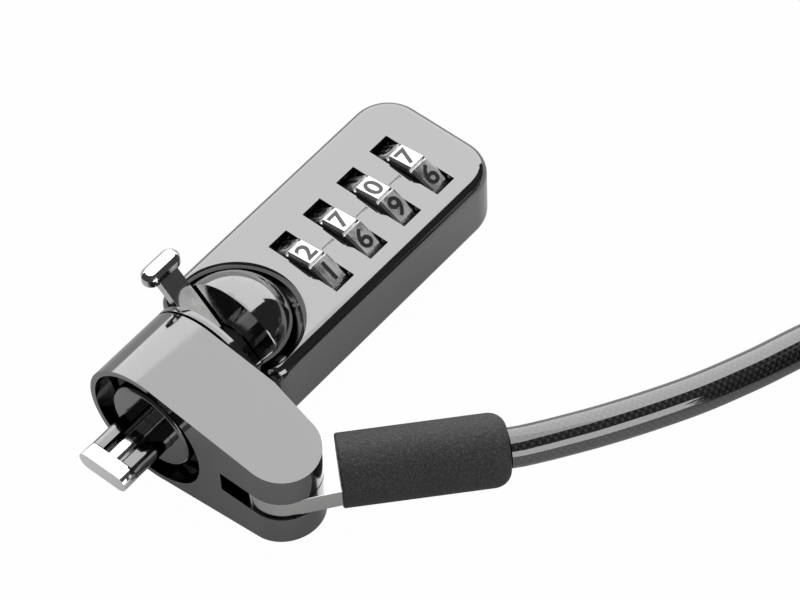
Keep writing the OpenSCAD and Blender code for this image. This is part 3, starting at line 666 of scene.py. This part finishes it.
class LOCK_OT_dials(bpy.types.Operator):
    """Makes the four dials and the numbers on their pads"""

    bl_idname = "lock.dials"
    bl_label = "Dials"

    def number(self, mesh, digit, turn, x):
        """Adds one number to the mesh, flat on its pad: its foot points along +Y and it reads along -X."""
        text = bpy.data.curves.new("number", "FONT")
        text.body = str(digit)
        text.align_x, text.align_y = "CENTER", "CENTER"
        text.offset = NUMBER_BOLDER
        text.extrude = NUMBER_THICKNESS
        holder = bpy.data.objects.new("number", text)
        part = bmesh.new()
        part.from_mesh(holder.to_mesh())
        holder.to_mesh_clear()
        bpy.data.objects.remove(holder)
        bpy.data.curves.remove(text)
        bmesh.ops.scale(part, vec=(NUMBER_SIZE,) * 3, verts=part.verts)
        ys = [v.co.y for v in part.verts]
        xs = [v.co.x for v in part.verts]
        centre = Vector(((min(xs) + max(xs)) / 2, (min(ys) + max(ys)) / 2, 0))
        bmesh.ops.translate(part, vec=-centre, verts=part.verts)
        for vert in part.verts:
            vert.co = self.on_pad(x - vert.co.x, turn, PAD_FACE + vert.co.z, vert.co.y)
        join(mesh, part)

    def on_pad(self, x, turn, height, along):
        """A point of the pad at one turn of the dial: so high from the axis and so far along the pad."""
        y = DIAL_AXIS_Y - height * math.sin(turn) - along * math.cos(turn)
        return Vector((x, y, height * math.cos(turn) - along * math.sin(turn)))

    def flatten(self, mesh):
        """Gives each pad a flat face and narrow grooves, from the drum that the CAD model has."""
        middle = sum(vert.co.x for vert in mesh.verts) / len(mesh.verts)
        for vert in mesh.verts:
            vert.co.x = middle + (vert.co.x - middle) * DIAL_STRETCH
            away = Vector((vert.co.y - DIAL_AXIS_Y, vert.co.z))
            if away.length > PAD_FOOT:
                turn = math.atan2(-away.x, away.y)
                pad = PAD_TURN + PAD_STEP * round((turn - PAD_TURN) / PAD_STEP)
                height = away.length - DIAL_RADIUS + PAD_FACE
                along = away.length * math.sin(turn - pad) * PAD_STRETCH
                vert.co = self.on_pad(vert.co.x, pad, height, along)

    def execute(self, context):
        edge = context.scene.lock_finish.edge_width
        for i in range(1, DIAL_COUNT + 1):
            body = f"number_wheel_{i}"
            low, high = corners(f"dial_{i}")
            middle = (low.x + high.x) / 2
            casting(f"dial_{i}", f"number_dial_{i}", body, finish("satin"), edge,
                    self.flatten)
            dress_node(f"code_sleeve_{i}", finish("brass"))
            numbers = bmesh.new()
            for k in range(PAD_COUNT):
                digit = (TOP_NUMBERS[i - 1] + k) % PAD_COUNT
                self.number(numbers, digit, PAD_TURN + PAD_STEP * k, middle)
            place_piece(numbers, f"dial_{i}_numbers", body, finish("etched"))
        dress_node("code_shaft", finish("steel"))
        return {"FINISHED"}


class LOCK_OT_head(bpy.types.Operator):
    """Dresses the tilting head, the lever and the T-bar"""

    bl_idname = "lock.head"
    bl_label = "Head and lever"

    def prongs(self, context):
        """Guide prongs: two round-backed fingers with a clear gap on both sides of the T-bar's spindle."""
        tip = PRONG_END
        mesh = merged("prong_insert")
        cut_off(mesh, Vector((PRONG_ROOT, 0, 0)), Vector((1, 0, 0)))
        bmesh.ops.triangle_fill(mesh, use_beauty=True, edges=open_rims(mesh))
        for side in (-1, 1):
            ends = sorted((side * PRONG_GAP, side * tip.y))
            finger = block(Vector((0, ends[0], -tip.z)), Vector((tip.x, ends[1], tip.z)))
            backs = [e for e in finger.edges if all(abs(v.co.y) > tip.y - LEVEL for v in e.verts)
                     and abs(e.verts[0].co.x - e.verts[1].co.x) > LEVEL]
            round_off(finger, backs, PRONG_ROUND, 10)
            join(mesh, finger)
        bmesh.ops.recalc_face_normals(mesh, faces=mesh.faces)
        break_edges(mesh, context.scene.lock_finish.edge_width / 2)
        place_piece(mesh, "guide_prongs", "head", finish("dark"), ("prong_insert",))

    def thumb_piece(self, mesh):
        """Puts a flat-topped pill with rounded rims on the lever, in place of its round bar."""
        far = [v.co.x for v in mesh.verts if v.co.dot(LEVER_OUT) > CAP_REACH]
        centre = CAP_REACH * LEVER_OUT + Vector(((min(far) + max(far)) / 2, 0, 0))
        cut_off(mesh, centre - CAP_FOOT * LEVER_OUT, LEVER_OUT)
        bmesh.ops.holes_fill(mesh, edges=open_rims(mesh), sides=0)
        pill = block(-CAP_SIZE / 2, CAP_SIZE / 2)
        ends = [e for e in pill.edges if abs(e.verts[0].co.z - e.verts[1].co.z) > LEVEL]
        round_off(pill, ends, CAP_SIZE.y / 2, 8)
        bmesh.ops.remove_doubles(pill, verts=pill.verts, dist=LEVEL)
        rims = [e for e in pill.edges if abs(e.verts[0].co.z - e.verts[1].co.z) < LEVEL]
        round_off(pill, rims, CAP_RIM, 1)
        bmesh.ops.translate(pill, vec=centre, verts=pill.verts)
        join(mesh, pill)

    def execute(self, context):
        edge = context.scene.lock_finish.edge_width
        casting("swivel_ball", "ball_of_head", "head", finish("dark"), edge)
        casting("head_barrel", "barrel_and_flange", "head", finish("dark"), edge)
        self.prongs(context)
        casting("lever", "lock_lever", "lever", finish("bright"), edge, self.thumb_piece)
        casting("t_bar", "turning_t_bar", "lever", finish("chrome"), edge)
        for node in ("head_dowels", "retaining_ring", "blocking_rod"):
            dress_node(node, finish("steel"))
        dress_node("spindle_bush", finish("brass"))
        return {"FINISHED"}


class LOCK_OT_collar(bpy.types.Operator):
    """Dresses the swivel collar and the lug, and makes the moulded sleeve"""

    bl_idname = "lock.collar"
    bl_label = "Collar and cable end"

    def sleeve(self, context):
        """Sleeve turned from its outline, with a crisp front edge and a well rounded rear."""
        end = (LEAD_START - CABLE_PIN).length
        mesh = bmesh.new()
        outline = [(SLEEVE_START, SLEEVE_RADIUS - SLEEVE_RIM), (SLEEVE_START, SLEEVE_RADIUS),
                   (end, SLEEVE_RADIUS), (end, CABLE_RADIUS)]
        verts = [mesh.verts.new((along, reach, 0)) for along, reach in outline]
        for pair in zip(verts, verts[1:]):
            mesh.edges.new(pair)
        rounds = ((verts[1], SLEEVE_FRONT_ROUND, 3), (verts[2], SLEEVE_REAR_ROUND, 10))
        for corner, width, segments in rounds:
            bmesh.ops.bevel(mesh, geom=[corner], offset=width, affect="VERTICES", segments=segments,
                            profile=0.5, material=-1)
        bmesh.ops.spin(mesh, geom=mesh.verts[:] + mesh.edges[:], cent=(0, 0, 0), axis=(1, 0, 0),
                       angle=2 * math.pi, steps=SLEEVE_STEPS, use_merge=True)
        bmesh.ops.remove_doubles(mesh, verts=mesh.verts, dist=MERGE)
        bmesh.ops.holes_fill(mesh, edges=open_rims(mesh), sides=0)
        bmesh.ops.recalc_face_normals(mesh, faces=mesh.faces)
        turn = Matrix.Translation(CABLE_PIN) @ Matrix.Rotation(LUG_ANGLE, 4, "Z")
        bmesh.ops.transform(mesh, matrix=turn, verts=mesh.verts)
        place_piece(mesh, "moulded_sleeve", "cable", finish("vinyl"),
                    ("cable_sleeve",))

    def widen(self, mesh):
        """Widens the lug's round end until it nearly fills the slot in the arm."""
        along = Vector((math.cos(LUG_ANGLE), math.sin(LUG_ANGLE), 0))
        for vert in mesh.verts:
            away = vert.co - CABLE_PIN
            away.z = 0
            on_rim = away.length > 0.95 * LUG_EYE_RADIUS
            if on_rim and away.dot(along) < 0.05 * MM:
                vert.co += away * (VISIBLE_EYE_RADIUS / LUG_EYE_RADIUS - 1)

    def execute(self, context):
        edge = context.scene.lock_finish.edge_width
        casting("collar", "swivel_collar", "collar", finish("dark"), edge)
        casting("cable_lug", "cable_end_lug", "cable", finish("bright"), edge,
                self.widen)
        self.sleeve(context)
        dress_node("cable_pin", finish("steel"))
        dress_node("loop_ferrule", finish("steel"))
        return {"FINISHED"}


class LOCK_PT_panel(bpy.types.Panel):
    """Lists the lock's settings and operators."""

    bl_idname = "LOCK_PT_panel"
    bl_label = "Cable lock"
    bl_space_type = "VIEW_3D"
    bl_region_type = "UI"
    bl_category = "Cable lock"

    def draw(self, context):
        for group in (context.scene.lock_finish, context.scene.lock_cable, context.scene.lock_stage):
            for name in group.__annotations__:
                self.layout.prop(group, name)
        for operator in OPERATORS:
            self.layout.operator(operator.bl_idname)


OPERATORS = (LOCK_OT_stage, LOCK_OT_cable, LOCK_OT_body, LOCK_OT_dials, LOCK_OT_head, LOCK_OT_collar)
CLASSES = (LockFinish, LockCable, LockStage) + OPERATORS + (LOCK_PT_panel,)


def register():
    for cls in CLASSES:
        bpy.utils.register_class(cls)
    bpy.types.Scene.lock_finish = bpy.props.PointerProperty(type=LockFinish)
    bpy.types.Scene.lock_cable = bpy.props.PointerProperty(type=LockCable)
    bpy.types.Scene.lock_stage = bpy.props.PointerProperty(type=LockStage)


def unregister():
    del bpy.types.Scene.lock_stage
    del bpy.types.Scene.lock_cable
    del bpy.types.Scene.lock_finish
    for cls in reversed(CLASSES):
        bpy.utils.unregister_class(cls)


def main():
    register()
    bpy.ops.lock.stage()
    bpy.ops.lock.cable()
    bpy.ops.lock.body()
    bpy.ops.lock.dials()
    bpy.ops.lock.head()
    bpy.ops.lock.collar()


if __name__ == "__main__":
    main()
